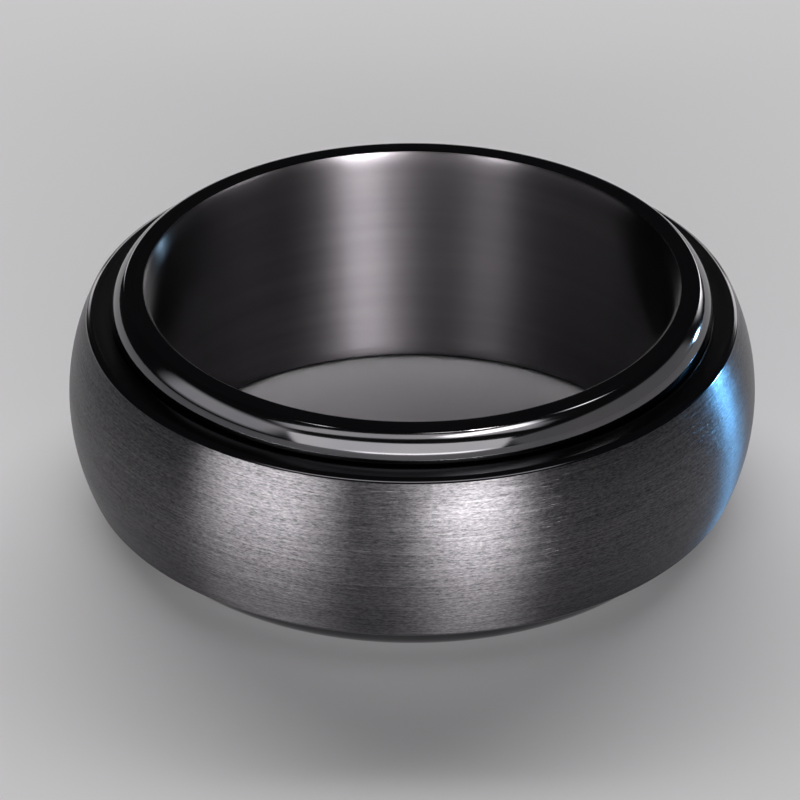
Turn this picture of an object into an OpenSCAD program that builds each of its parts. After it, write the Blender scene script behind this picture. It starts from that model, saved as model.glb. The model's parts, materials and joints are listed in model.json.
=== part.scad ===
// Spinner ring: a spool-shaped inner band, worn on the finger, and a domed outer band that turns on it.
// Millimetres. The ring lies on its side: +Z is its axis, and z = 0 is its lower end face.

/* [Inner band] */
// Diameter of the finger hole
bore_d = 17.3; // [13:0.1:23]
// Width of the whole ring, from end face to end face
band_w = 8; // [6:0.5:12]
// Wall between the finger hole and the channel's floor
floor_wall = 0.6; // [0.4:0.05:0.9]
// Height of each end face, from the finger hole to its outer corner
end_wall = 0.74; // [0.5:0.02:0.9]
// Width of the rounding inside each mouth, across the end face
mouth_w = 0.2; // [0.1:0.01:0.35]
// Depth of that rounding, along the finger hole
mouth_h = 0.62; // [0.4:0.02:1]

/* [Shoulders] */
// Width of each shoulder, from the end face to the channel's side
shoulder_w = 0.96; // [0.8:0.02:1.4]
// Height of each shoulder, from the finger hole to its highest point
shoulder_h = 1.27; // [1.1:0.01:1.6]
// Radius of the shoulder's convex face
shoulder_round = 1.1; // [0.9:0.1:3]
// Rounding between the end face and the shoulder
corner_round = 0.17; // [0.1:0.01:0.3]
// Rounding of the shoulder's rim, where it turns down into the channel
rim_round = 0.06; // [0.04:0.01:0.3]
// Fillet between the channel's sides and its floor
channel_fillet = 0.15; // [0.05:0.05:0.2]

/* [Spinner band] */
// Height of the flat sides, from the running bore to the bevel
side_h = 1.28; // [1:0.02:1.6]
// Width of the bevel along each edge, across the flat side
bevel_w = 0.15; // [0.04:0.01:0.3]
// Height of the bevel, along the ring's axis
bevel_h = 0.08; // [0.04:0.01:0.3]
// Rise of the domed face, from the bevels to its middle
crown_rise = 0.62; // [0.2:0.02:1]

/* [Fit] */
// Radial clearance between the channel's floor and the spinner
radial_gap = 0.05; // [0.02:0.01:0.1]
// Clearance between the spinner and each side of the channel
side_gap = 0.07; // [0.03:0.01:0.3]

/* [Hidden] */

// Steps round the ring, and along a small rounding, the shoulder and half of the dome
ring_steps = 180;
round_steps = 8;
shoulder_steps = 8;
dome_steps = 16;

// Inner band, from the finger hole outwards
bore_r = bore_d / 2;
floor_r = bore_r + floor_wall;
end_r = bore_r + end_wall;
rim_r = bore_r + shoulder_h;
// A rounding is no larger than its wall allows
rim_k = min(rim_round, rim_r - floor_r - channel_fillet);

// Spinner, which runs on the channel's floor between the shoulders
spin_bore_r = floor_r + radial_gap;
spin_z = shoulder_w + side_gap;
spin_break = channel_fillet + radial_gap;
side_r = spin_bore_r + side_h;
field_r = side_r + bevel_w;
field_z = spin_z + bevel_h;
crown_r = field_r + crown_rise;
dome_half_w = band_w / 2 - field_z;
dome_k = (dome_half_w ^ 2 + crown_rise ^ 2) / (2 * crown_rise);
dome_turn = asin(dome_half_w / dome_k);

// Points of a circular arc about c, of radius k, from angle a to angle b.
function arc(c, k, a, b, steps) =
    [for (i = [0:steps]) let (t = a + (b - a) * i / steps) c + k * [cos(t), sin(t)]];

// The same outline points on the upper half of the ring, in the order that closes the outline.
function upper(points) =
    [for (i = [len(points) - 1:-1:0]) [points[i].x, band_w - points[i].y]];

// Centre of the circle of radius k that holds circles (c1, k1) and (c2, k2) and touches both from inside.
function round_both(c1, k1, c2, k2, k) =
    let (
        d = norm(c2 - c1),
        u = (c2 - c1) / d,
        along = (d ^ 2 + (k - k1) ^ 2 - (k - k2) ^ 2) / (2 * d),
        aside = sqrt((k - k1) ^ 2 - along ^ 2)
    )
    c1 + along * u + aside * [-u.y, u.x];

// Direction from one point to another, in degrees.
function turn(from, to) = atan2((to - from).y, (to - from).x);

// The shoulder's three arcs touch smoothly: corner, convex face, rim
corner_c = [end_r, corner_round];
rim_c = [rim_r - rim_k, shoulder_w - rim_k];
face_c = round_both(corner_c, corner_round, rim_c, rim_k, shoulder_round);
face_a = turn(face_c, corner_c);
face_b = turn(face_c, rim_c);

// Lower half of the inner band's section, as [radius, height], from the finger hole to the channel's floor.
inner_half = concat(
    // Each mouth is a quarter of an ellipse, smooth with the hole's wall and with the end face
    [for (i = [0:round_steps]) let (t = 90 * i / round_steps)
        [bore_r + mouth_w * (1 - cos(t)), mouth_h * (1 - sin(t))]],
    arc(corner_c, corner_round, -90, face_a, round_steps),
    arc(face_c, shoulder_round, face_a, face_b, shoulder_steps),
    arc(rim_c, rim_k, face_b, 90, round_steps),
    arc([floor_r + channel_fillet, shoulder_w + channel_fillet], channel_fillet, 270, 180, round_steps)
);

// Lower half of the spinner's section, from its bore to just below the middle of the dome.
spinner_half = concat(
    [[spin_bore_r, spin_z + spin_break], [spin_bore_r + spin_break, spin_z], [side_r, spin_z]],
    [for (i = [0:dome_steps - 1]) let (t = -dome_turn * (1 - i / dome_steps))
        [crown_r - dome_k + dome_k * cos(t), band_w / 2 + dome_k * sin(t)]]
);

// Band worn on the finger: polished metal turned to a spool, with a channel between two rounded shoulders.
module inner_band() {
    color("#2a2a2d")
        rotate_extrude($fn = ring_steps)
            polygon(concat(inner_half, upper(inner_half)));
}

// Outer band that turns in the channel: flat sides, bevelled edges and a domed, brushed face.
module spinner_band() {
    color("#57555a")
        rotate_extrude($fn = ring_steps)
            polygon(concat(spinner_half, [[crown_r, band_w / 2]], upper(spinner_half)));
}

inner_band();
spinner_band();
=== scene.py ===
import json
import math

import bpy
import numpy as np
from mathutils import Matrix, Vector


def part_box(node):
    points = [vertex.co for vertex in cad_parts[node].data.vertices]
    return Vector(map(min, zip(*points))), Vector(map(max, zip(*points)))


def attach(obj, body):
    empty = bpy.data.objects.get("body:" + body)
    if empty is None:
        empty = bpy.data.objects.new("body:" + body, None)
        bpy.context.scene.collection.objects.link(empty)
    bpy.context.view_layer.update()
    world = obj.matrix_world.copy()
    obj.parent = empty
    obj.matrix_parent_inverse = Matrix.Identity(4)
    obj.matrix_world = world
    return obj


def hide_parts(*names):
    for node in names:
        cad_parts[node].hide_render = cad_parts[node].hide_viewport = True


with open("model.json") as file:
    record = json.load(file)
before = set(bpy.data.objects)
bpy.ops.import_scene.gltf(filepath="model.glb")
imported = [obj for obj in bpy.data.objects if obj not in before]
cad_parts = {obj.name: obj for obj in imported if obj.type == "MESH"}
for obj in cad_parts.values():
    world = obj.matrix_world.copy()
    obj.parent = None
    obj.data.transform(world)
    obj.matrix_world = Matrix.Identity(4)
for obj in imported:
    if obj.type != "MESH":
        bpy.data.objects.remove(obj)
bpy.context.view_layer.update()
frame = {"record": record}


# Inner band: the part worn on the finger, one piece of steel turned to a spool and plated black.
# The finger hole is honed to a satin shine, and the end faces, shoulders and channel are polished.
# Its sizes are in millimetres, and its steps are the flats that stand for each rounding.

MM = 0.001
band_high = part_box("inner_band")[1]
band_w = band_high.z / MM
rim_r = band_high.x / MM
bore_r = frame["record"]["mounts"][0]["dims"]["r_mm"]
floor_wall = 0.6
end_wall = 0.74
floor_r = bore_r + floor_wall
end_r = bore_r + end_wall
shoulder_w = 0.96
mouth_w = 0.2
mouth_h = 0.62
corner_round = 0.17
shoulder_round = 1.1
rim_round = 0.06
channel_fillet = 0.15
ring_steps = 512
mouth_steps = 20
corner_steps = 10
face_steps = 16
rim_steps = 14
fillet_steps = 6


def arc(centre, radius, start, end, steps, hollow=False):
    """Arc of a section: centre plus radius times (cos, sin) of evenly spaced angles, in degrees.
    The columns are radius, height, and the two parts of the outward normal, which on a hollow
    arc points to the centre."""
    angles = np.radians(np.linspace(start, end, steps + 1))
    way = np.column_stack([np.cos(angles), np.sin(angles)])
    return np.hstack([np.array(centre) + radius * way, -way if hollow else way])


def mouth_curve(steps):
    """Quarter of an ellipse from the hole's wall to the end face, for even angles t up to 90 degrees:
    the radius grows by mouth_w (1 - cos t), and the height is mouth_h (1 - sin t)."""
    t = np.linspace(0, np.pi / 2, steps + 1)
    radius = bore_r + mouth_w * (1 - np.cos(t))
    height = mouth_h * (1 - np.sin(t))
    out, up = -mouth_h * np.cos(t), -mouth_w * np.sin(t)
    size = np.hypot(out, up)
    return np.column_stack([radius, height, out / size, up / size])


def bearing(start, end):
    """Direction from one point of a section to another, in degrees."""
    return math.degrees(math.atan2(end[1] - start[1], end[0] - start[0]))


def touching_both(first, first_radius, second, second_radius, radius):
    """Centre of the circle of that radius that holds two circles and touches both from inside. It lies
    radius - first_radius from the first centre and radius - second_radius from the second, so the sides
    of that triangle give how far it is along the line between them and how far aside."""
    first, second = np.array(first), np.array(second)
    gap = np.hypot(*(second - first))
    along = (gap ** 2 + (radius - first_radius) ** 2 - (radius - second_radius) ** 2) / (2 * gap)
    aside = math.sqrt((radius - first_radius) ** 2 - along ** 2)
    way = (second - first) / gap
    return first + along * way + aside * np.array([-way[1], way[0]])


def both_ends(half):
    """A whole section from its lower half: the half, then its mirror image about mid-height, backwards."""
    upper = half[::-1] * [1, -1, 1, -1] + [0, band_w, 0, 0]
    return np.vstack([half, upper])


def turned(name, section, zones, finishes):
    """A surface of revolution about Z: each point (r, z) of the closed section goes to
    (r cos a, r sin a, z) for ring_steps even angles a, and its normal turns with it.
    Its map runs round the ring in u and along the section in v.
    zones gives the number of the finish that each side of the section has."""
    angle = np.linspace(0, 2 * np.pi, ring_steps, endpoint=False)[:, None]
    all_round = np.ones_like(angle)
    r, z, out, up = section.T
    points = np.stack([r * np.cos(angle), r * np.sin(angle), z * all_round], -1) * MM
    normals = np.stack([out * np.cos(angle), out * np.sin(angle), up * all_round], -1)
    sides = len(section)
    around = np.arange(ring_steps)[:, None]
    along = np.arange(sides)[None, :]
    after, beyond = around + 1, along + 1
    corners = np.stack([
        around * sides + along,
        after % ring_steps * sides + along,
        after % ring_steps * sides + beyond % sides,
        around * sides + beyond % sides,
    ], -1).reshape(-1, 4)
    mesh = bpy.data.meshes.new(name)
    mesh.from_pydata(points.reshape(-1, 3), [], corners)
    step = np.diff(section[:, :2], axis=0, append=section[:1, :2])
    run = np.append(0, np.cumsum(np.hypot(step[:, 0], step[:, 1])))
    u = np.stack([around, after, after, around], -1) / ring_steps
    v = np.stack([run[along], run[along], run[beyond], run[beyond]], -1) / run[-1]
    shape = (ring_steps, sides, 4)
    uv = np.stack([np.broadcast_to(u, shape), np.broadcast_to(v, shape)], -1)
    mesh.uv_layers.new(name="Turned").uv.foreach_set("vector", uv.ravel())
    mesh.polygons.foreach_set("material_index", np.tile(zones, ring_steps))
    for finish in finishes:
        mesh.materials.append(finish)
    mesh.validate()
    mesh.shade_smooth()
    mesh.normals_split_custom_set_from_vertices(normals.reshape(-1, 3))
    piece = bpy.data.objects.new(name, mesh)
    bpy.context.scene.collection.objects.link(piece)
    return piece


def add(tree, kind, inputs=(), **settings):
    """A shader node of that kind, with its settings, and its inputs given as values or as links."""
    made = tree.nodes.new("ShaderNode" + kind)
    for key, value in settings.items():
        setattr(made, key, value)
    for key, value in dict(inputs).items():
        if isinstance(value, bpy.types.NodeSocket):
            tree.links.new(value, made.inputs[key])
        else:
            made.inputs[key].default_value = value
    return made


def grain(tree, length, width, detail=3.0, rough=0.6):
    """Marks that run round the ring: noise of (x, y) over length, and of height and radius over width.
    Both are in millimetres, so the noise is drawn out along the turning and fine across it."""
    place = add(tree, "TexCoord").outputs["Object"]
    stretched = add(tree, "Mapping", {
        "Vector": place,
        "Scale": (1 / (length * MM), 1 / (length * MM), 1 / (width * MM)),
    }).outputs["Vector"]
    level = add(tree, "VectorMath", {0: place, 1: (1, 1, 0)}, operation="MULTIPLY").outputs["Vector"]
    radius = add(tree, "VectorMath", {0: level}, operation="LENGTH").outputs["Value"]
    across = add(tree, "Math", {0: radius, 1: 1 / (width * MM)}, operation="MULTIPLY").outputs["Value"]
    return add(tree, "TexNoise", {
        "Vector": stretched, "W": across, "Scale": 1.0, "Detail": detail, "Roughness": rough,
    }, noise_dimensions="4D").outputs["Fac"]


def spread(tree, value, low, high, start=0.3, end=0.7):
    """The value, from start to end, mapped to a range from low to high."""
    return add(tree, "MapRange", {
        "Value": value, "From Min": start, "From Max": end, "To Min": low, "To Max": high,
    }).outputs["Result"]


def plated(name, drawn_out=0.0):
    """A plated metal's material and its tree. drawn_out is how far each reflection is drawn out
    across marks that run round the ring, from 0 to 1."""
    made = bpy.data.materials.new(name)
    made.use_nodes = True
    tree = made.node_tree
    shader = tree.nodes["Principled BSDF"]
    quarter_turn = 0.25
    shader.inputs["Metallic"].default_value = 1.0
    shader.inputs["Anisotropic"].default_value = drawn_out
    shader.inputs["Anisotropic Rotation"].default_value = quarter_turn
    if drawn_out:
        tangent = add(tree, "Tangent", direction_type="UV_MAP", uv_map="Turned")
        tree.links.new(tangent.outputs["Tangent"], shader.inputs["Tangent"])
    return made, tree


def coat(tree, dark, light, mix, roughness, relief):
    """Gives the plate its colour, which goes from dark to light with mix, its roughness and its relief."""
    shader = tree.nodes["Principled BSDF"]
    tone = add(tree, "Mix", {"Factor": mix, "A": (*dark, 1), "B": (*light, 1)}, data_type="RGBA")
    tree.links.new(tone.outputs["Result"], shader.inputs["Base Color"])
    tree.links.new(roughness, shader.inputs["Roughness"])
    tree.links.new(relief.outputs["Normal"], shader.inputs["Normal"])


def polished_black():
    """Black plate polished on a mop: nearly a mirror, with hairlines left by wear. Its faint waves are
    about 1 mm across, and the clouds in its tone about 3 mm."""
    made, tree = plated("polished_black")
    hairline = grain(tree, length=2.5, width=0.03)
    place = add(tree, "TexCoord").outputs["Object"]
    wave = add(tree, "TexNoise", {"Vector": place, "Scale": 900.0, "Detail": 1.0}).outputs["Fac"]
    cloud = add(tree, "TexNoise", {"Vector": place, "Scale": 350.0, "Detail": 3.0}).outputs["Fac"]
    swell = add(tree, "Bump", {"Height": wave, "Strength": 0.25, "Distance": 0.004 * MM})
    lines = add(tree, "Bump", {
        "Height": hairline, "Strength": 0.2, "Distance": 0.0006 * MM, "Normal": swell.outputs["Normal"],
    })
    coat(tree, dark=(0.105, 0.105, 0.115), light=(0.135, 0.130, 0.135), mix=spread(tree, cloud, 0.0, 1.0),
         roughness=spread(tree, hairline, 0.05, 0.12), relief=lines)
    return made


def honed_black():
    """Black plate over a honed hole: fine marks round the hole draw each reflection out along its axis."""
    made, tree = plated("honed_black", drawn_out=1.0)
    fine = grain(tree, length=3.0, width=0.05)
    broad = grain(tree, length=9.0, width=0.5, detail=1.0)
    lines = add(tree, "Bump", {"Height": fine, "Strength": 0.3, "Distance": 0.001 * MM})
    coat(tree, dark=(0.052, 0.049, 0.053), light=(0.062, 0.058, 0.062), mix=spread(tree, broad, 0.0, 1.0),
         roughness=spread(tree, fine, 0.34, 0.40), relief=lines)
    return made


# Centres of the section's arcs, as radius and height
corner = (end_r, corner_round)
rim = (rim_r - rim_round, shoulder_w - rim_round)
face = touching_both(corner, corner_round, rim, rim_round, shoulder_round)
fillet = (floor_r + channel_fillet, shoulder_w + channel_fillet)
corner_to_face = bearing(face, corner)
face_to_rim = bearing(face, rim)
inner_half = np.vstack([
    mouth_curve(mouth_steps),
    arc(corner, corner_round, -90, corner_to_face, corner_steps),
    arc(face, shoulder_round, corner_to_face, face_to_rim, face_steps)[1:],
    arc(rim, rim_round, face_to_rim, 90, rim_steps)[1:],
    arc(fillet, channel_fillet, 270, 180, fillet_steps, hollow=True),
])
inner_section = both_ends(inner_half)

# The hole's wall and its mouths are honed, and the rest is polished
polished, honed = 0, 1
inner_zones = np.full(len(inner_section), polished)
inner_zones[:mouth_steps] = honed
inner_zones[-mouth_steps - 1:] = honed
inner_band = turned("inner_band_turned", inner_section, inner_zones, [polished_black(), honed_black()])
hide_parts("inner_band")
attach(inner_band, "inner_band")


# Spinner band: a separate ring that turns freely in the channel, turned to a low dome and plated black.
# The dome is brushed round its circumference, the bevelled edges are polished, and the flat sides are
# left dull from the lathe, with a darker plate that paints the shade of the channel they face.

spinner_low, spinner_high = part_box("spinner_band")
spin_z = spinner_low.z / MM
crown_r = spinner_high.x / MM
radial_gap = 0.05
side_h = 1.28
bevel_w = 0.15
bevel_h = 0.08
edge_round = 0.04
bevel_round = 0.18
spin_bore_r = floor_r + radial_gap
spin_break = channel_fillet + radial_gap
side_r = spin_bore_r + side_h
field_r = side_r + bevel_w
field_z = spin_z + bevel_h
half_field = band_w / 2 - field_z
crown_rise = crown_r - field_r
dome_round = (half_field ** 2 + crown_rise ** 2) / (2 * crown_rise)

# In degrees. The dome's arc starts dome_trim late, which leaves room for the eased corner before it
bevel_turn = math.degrees(math.atan2(bevel_h, bevel_w))
dome_turn = math.degrees(math.asin(half_field / dome_round))
dome_trim = 0.5

chamfer_steps = 3
bevel_steps = 7
dome_edge_steps = 9
dome_steps = 32


def eased(corner_at, before, after, radius, steps):
    """Arc that rounds a corner of the section between two directions, in degrees, touching both sides.
    Its centre lies on the line that halves the corner, radius / cos(half the turn) from its point."""
    turn = math.radians(after - before)
    back = radius / math.cos(turn / 2)
    inward = math.radians((before + after) / 2 + 90)
    centre = np.array(corner_at) + back * np.array([math.cos(inward), math.sin(inward)])
    return arc(centre, radius, before - 90, after - 90, steps)


def brushed_black():
    """Black plate over brushed metal: a fine scratched grain that glitters, with longer lines and a few
    deeper scratches."""
    made, tree = plated("brushed_black", drawn_out=1.0)
    glitter = grain(tree, length=0.15, width=0.036, detail=2.0, rough=0.7)
    line = grain(tree, length=2.4, width=0.045, detail=2.0, rough=0.6)
    scratch = grain(tree, length=1.4, width=0.05, detail=2.0, rough=0.6)
    patch = grain(tree, length=5.0, width=0.6, detail=2.0)
    few = spread(tree, scratch, 0.0, 0.6, start=0.56, end=0.66)
    weave = add(tree, "Math", {0: line, 1: 0.5, 2: glitter}, operation="MULTIPLY_ADD").outputs["Value"]
    height = add(tree, "Math", {0: weave, 1: few}, operation="SUBTRACT").outputs["Value"]
    lines = add(tree, "Bump", {"Height": height, "Strength": 0.8, "Distance": 0.006 * MM})
    coat(tree, dark=(0.050, 0.048, 0.052), light=(0.178, 0.172, 0.181),
         mix=spread(tree, weave, 0.0, 1.0, start=0.55, end=0.95),
         roughness=spread(tree, patch, 0.31, 0.35), relief=lines)
    return made


def faced_and_shade_black():
    """Black plate over a face straight from the lathe: dull, with fine rings about the axis.
    Its dark colours are painted shade, for the channel between the spinner's flat sides and the shoulders.
    """
    made, tree = plated("faced_and_shade_black")
    ring_mark = grain(tree, length=6.0, width=0.025, detail=2.0)
    lines = add(tree, "Bump", {"Height": ring_mark, "Strength": 0.3, "Distance": 0.001 * MM})
    # Darker than the other plates: painted shade of the channel that the flat sides face.
    coat(tree, dark=(0.045, 0.045, 0.050), light=(0.06, 0.06, 0.063), mix=spread(tree, ring_mark, 0.0, 1.0),
         roughness=spread(tree, ring_mark, 0.17, 0.24), relief=lines)
    return made


dome_centre = (crown_r - dome_round, band_w / 2)
spinner_half = np.vstack([
    eased((spin_bore_r, spin_z + spin_break), -90, -45, edge_round, chamfer_steps),
    eased((spin_bore_r + spin_break, spin_z), -45, 0, edge_round, chamfer_steps),
    eased((side_r, spin_z), 0, bevel_turn, bevel_round, bevel_steps),
    eased((field_r, field_z), bevel_turn, 90 - dome_turn, bevel_round, dome_edge_steps),
    arc(dome_centre, dome_round, dome_trim - dome_turn, 0, dome_steps)[:-1],
])
spinner_section = both_ends(spinner_half)

# The bore, its chamfers and the flat sides are faced and plated darker as painted shade of the channel, the
# bevels are polished, and the dome is brushed
faced_and_shade_sides = 2 * (chamfer_steps + 1)
edge_sides = len(spinner_half) - dome_steps
brushed, faced_and_shade = 1, 2
spinner_zones = np.full(len(spinner_section), polished)
spinner_zones[edge_sides - 1:len(spinner_section) - edge_sides] = brushed
spinner_zones[:faced_and_shade_sides] = faced_and_shade
spinner_zones[-faced_and_shade_sides - 1:] = faced_and_shade
spinner_band = turned("spinner_band_turned", spinner_section, spinner_zones,
                      [bpy.data.materials["polished_black"], brushed_black(), faced_and_shade_black()])
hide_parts("spinner_band")
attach(spinner_band, "spinner_band")


# Floor: a plain pale sheet, six metres across, that the ring lies on.
# It is nearly matt, so that the low lamps leave no glare on it.

floor_half = 3.0
floor_mesh = bpy.data.meshes.new("floor")
floor_mesh.from_pydata([(-floor_half, -floor_half, 0), (floor_half, -floor_half, 0),
                        (floor_half, floor_half, 0), (-floor_half, floor_half, 0)], [], [(0, 1, 2, 3)])
floor = bpy.data.objects.new("floor", floor_mesh)
bpy.context.scene.collection.objects.link(floor)
floor_paint = bpy.data.materials.new("floor")
floor_paint.use_nodes = True
floor_shader = floor_paint.node_tree.nodes["Principled BSDF"]
floor_shader.inputs["Base Color"].default_value = (0.8, 0.8, 0.81, 1)
floor_shader.inputs["Roughness"].default_value = 0.7
floor_shader.inputs["Specular IOR Level"].default_value = 0.2
floor_mesh.materials.append(floor_paint)


# Light: soft panels in a dim studio. Those for the shoulder give its polish a bright side, the left and
# right ones give the brushed dome its two bright patches, and four stand close over the finger hole. Each
# is flagged, as a photographer does with black card, so that it falls only on the pieces it is meant for.

white = (1.0, 0.985, 0.985)
blue = (0.15, 0.52, 1.0)
pale_blue = (0.45, 0.75, 1.0)


def only(*pieces):
    """The collection of the pieces that a flagged light falls on."""
    held = bpy.data.collections.new("lit")
    for piece in pieces:
        held.objects.link(piece)
    return held


def softbox(name, azimuth, elevation, width, height, glow, feather, falls_on,
            colour=white, aim=(0, 0, band_w / 2), distance=0.6, beam=180):
    """A rectangular light that faces the point aim, in millimetres, from distance, in metres. Its azimuth
    is counted from the camera's side towards the right, and all angles are in degrees. Width and height
    are the angles that it spans, glow is its radiance, and beam is the angle of its beam.
    It dims over the outer share of its face that feather gives."""
    a, e = math.radians(azimuth), math.radians(elevation)
    away = Vector((math.sin(a) * math.cos(e), -math.cos(a) * math.cos(e), math.sin(e)))
    lamp = bpy.data.lights.new(name, "AREA")
    lamp.shape = "RECTANGLE"
    lamp.size = 2 * distance * math.tan(math.radians(width / 2))
    lamp.size_y = 2 * distance * math.tan(math.radians(height / 2))
    lamp.energy = glow * math.pi * lamp.size * lamp.size_y
    lamp.color = colour
    lamp.spread = math.radians(beam)
    lamp.use_nodes = True
    tree = lamp.node_tree
    place = add(tree, "SeparateXYZ", {0: add(tree, "NewGeometry").outputs["Parametric"]})
    strength = 1.0
    for side in "XY":
        off_middle = add(tree, "Math", {
            0: place.outputs[side], 1: 0.5,
        }, operation="SUBTRACT").outputs["Value"]
        reach = add(tree, "Math", {0: off_middle}, operation="ABSOLUTE").outputs["Value"]
        fade = add(tree, "MapRange", {
            "Value": reach, "From Min": 0.5 - feather, "From Max": 0.5, "To Min": 1.0, "To Max": 0.0,
        }, interpolation_type="SMOOTHSTEP").outputs["Result"]
        strength = add(tree, "Math", {0: fade, 1: strength}, operation="MULTIPLY").outputs["Value"]
    tree.links.new(strength, tree.nodes["Emission"].inputs["Strength"])
    held = bpy.data.objects.new(name, lamp)
    held.location = away * distance + Vector(aim) * MM
    held.rotation_mode = "QUATERNION"
    held.rotation_quaternion = away.to_track_quat("Z", "Y")
    held.visible_camera = False
    held.light_linking.receiver_collection = falls_on
    bpy.context.scene.collection.objects.link(held)


ring = only(inner_band, spinner_band)
inner = only(inner_band)
spinner = only(spinner_band)
bench = only(floor)
close_over = {"distance": 0.045, "beam": 40}

# Name, azimuth, elevation, width, height, glow, feather, and what the light falls on
softbox("back_key", 180, 40, 90, 20, 7.4, 0.2, bench)
softbox("front_fill", 0, 18, 90, 12, 9.5, 0.2, bench)
softbox("high_panel", 0, 60, 84, 17, 1.8, 0.15, ring)
softbox("shoulder_panel", -5, 18.7, 78, 37.4, 2.8, 0.04, inner)
softbox("shoulder_low", 2, 2.5, 58, 6, 5.0, 0.25, inner)
softbox("shoulder_left", -76, 22, 62, 40, 1.4, 0.25, inner)
softbox("shoulder_right", 80, 14, 92, 36, 0.42, 0.1, inner)
softbox("shoulder_top", 40, 58, 34, 12, 12.0, 0.3, inner)
softbox("bore_core", 30, 58, 8, 12, 28.0, 0.15, inner, aim=(-1.9, 8.4, 4), **close_over)
softbox("bore_soft", 16, 58, 17, 12, 14.0, 0.5, inner, aim=(-0.5, 8.6, 4), **close_over)
softbox("bore_side", -45, 58, 14, 12, 6.5, 0.3, inner, aim=(2.4, 8.3, 4), **close_over)
softbox("bore_wide", 112, 58, 50, 12, 1.6, 0.5, inner, aim=(-5, 7, 4), **close_over)
softbox("bore_left", 147, 12, 26, 16, 6.0, 0.5, inner)
softbox("right_panel", 9.5, 9, 49, 14, 2.7, 0.12, spinner)
softbox("left_panel", -32.5, 9, 24, 14, 3.0, 0.05, spinner)
softbox("right_core", 19, 4.5, 47, 8, 136.0, 0.5, spinner)
softbox("left_core", -47.5, 4.5, 58, 8, 74.0, 0.44, spinner)
softbox("glint", 120, 3, 9, 8, 400.0, 0.5, spinner, colour=blue)
softbox("dot", 128, 3, 7, 6, 200.0, 0.5, inner, colour=pale_blue)
softbox("back_right", 155, 12, 24, 15, 2.5, 0.15, ring)
softbox("back", 190, 11, 40, 15, 2.0, 0.15, ring)

world = bpy.data.worlds.new("studio")
bpy.context.scene.world = world
world.use_nodes = True
world.node_tree.nodes["Background"].inputs["Color"].default_value = (0.02, 0.02, 0.022, 1)
bpy.context.scene.view_settings.view_transform = "Standard"


# Camera: a long lens, at the photograph's angle to the ring's axis, above the floor.
# It looks at a point just in front of the ring's middle, so that the whole ring fills the picture.

camera_elevation = math.radians(31)
camera_distance = 0.2527
picture_middle = Vector((-0.4, -2.0, 4.7)) * MM
lens = bpy.data.cameras.new("camera")
lens.lens = 346
lens.clip_start = 0.01
lens.clip_end = 20
camera = bpy.data.objects.new("camera", lens)
view_line = Vector((0, math.cos(camera_elevation), -math.sin(camera_elevation)))
camera.location = picture_middle - view_line * camera_distance
camera.rotation_mode = "QUATERNION"
camera.rotation_quaternion = view_line.to_track_quat("-Z", "Y")
bpy.context.scene.collection.objects.link(camera)
bpy.context.scene.camera = camera
